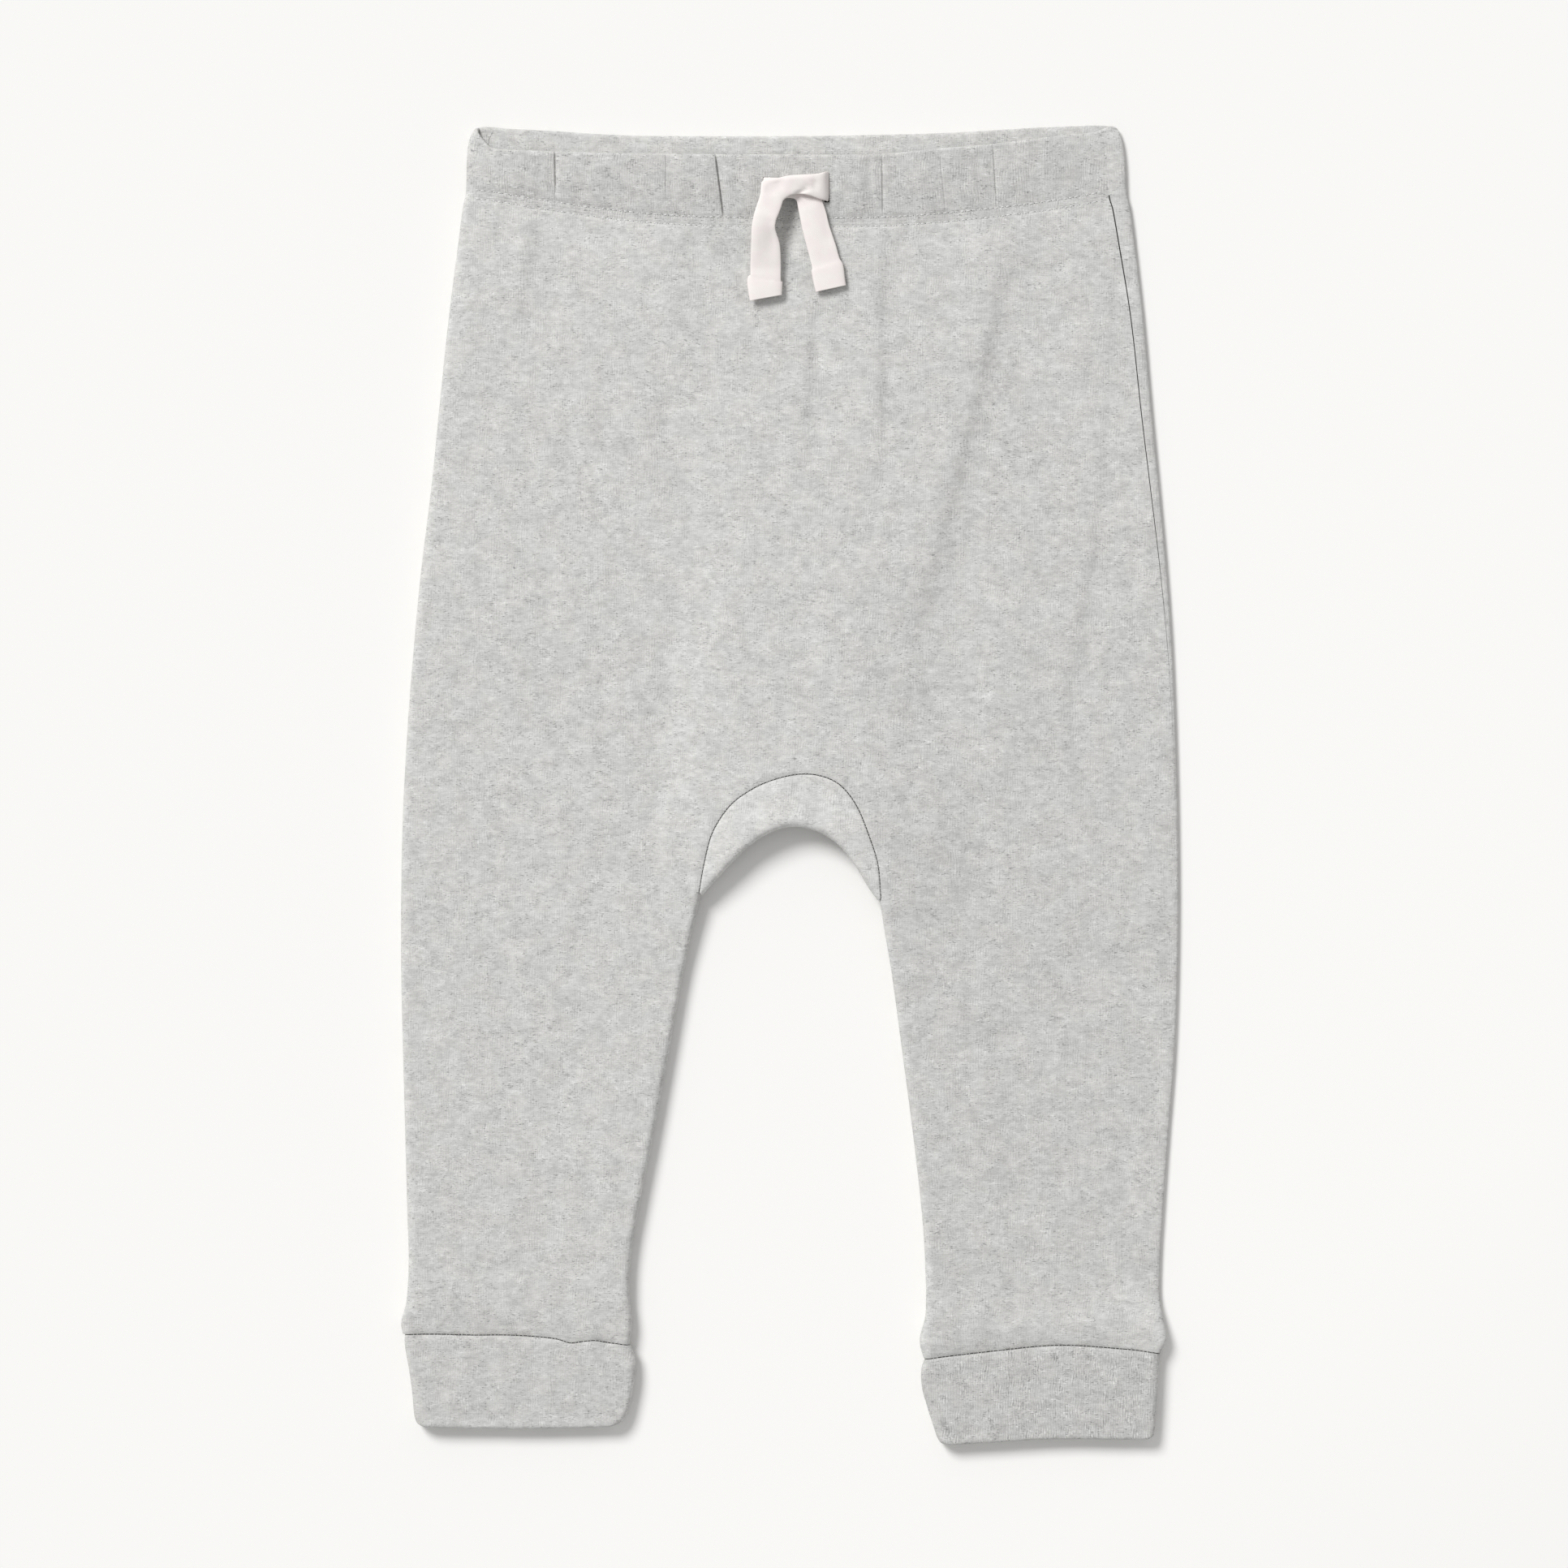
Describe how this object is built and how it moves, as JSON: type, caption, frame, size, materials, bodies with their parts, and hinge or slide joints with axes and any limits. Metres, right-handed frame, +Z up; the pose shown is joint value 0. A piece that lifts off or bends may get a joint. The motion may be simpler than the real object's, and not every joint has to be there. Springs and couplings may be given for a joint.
{
  "type": "baby harem pants",
  "caption": "Baby's harem pants in grey melange jersey, laid flat, with an elastic waist casing, a tied drawstring, a curved crotch gusset and folded cuffs.",
  "frame": {"origin": "under the middle of the garment, on the surface it lies on", "axes": "+Y towards the waist, +Z up out of the front, +X to the right as seen from above, which is the wearer's left"},
  "size_m": [0.2493, 0.4232, 0.011],
  "materials": {
    "jersey": "brushed grey melange jersey, matt",
    "gusset_jersey": "the same jersey, cut on the curve, matt",
    "casing_jersey": "the same jersey, doubled over elastic, matt",
    "cuff_jersey": "the same jersey, doubled, matt",
    "cotton_tape": "cream cotton tape, matt"
  },
  "bodies": {
    "root": {"front_panel": "jersey", "back_panel": "jersey", "gusset": "gusset_jersey", "waistband_front": "casing_jersey", "waistband_back": "casing_jersey", "cuff_left": "cuff_jersey", "cuff_right": "cuff_jersey", "drawstring_over": "cotton_tape", "drawstring_under": "cotton_tape"}
  },
  "joints": []
}
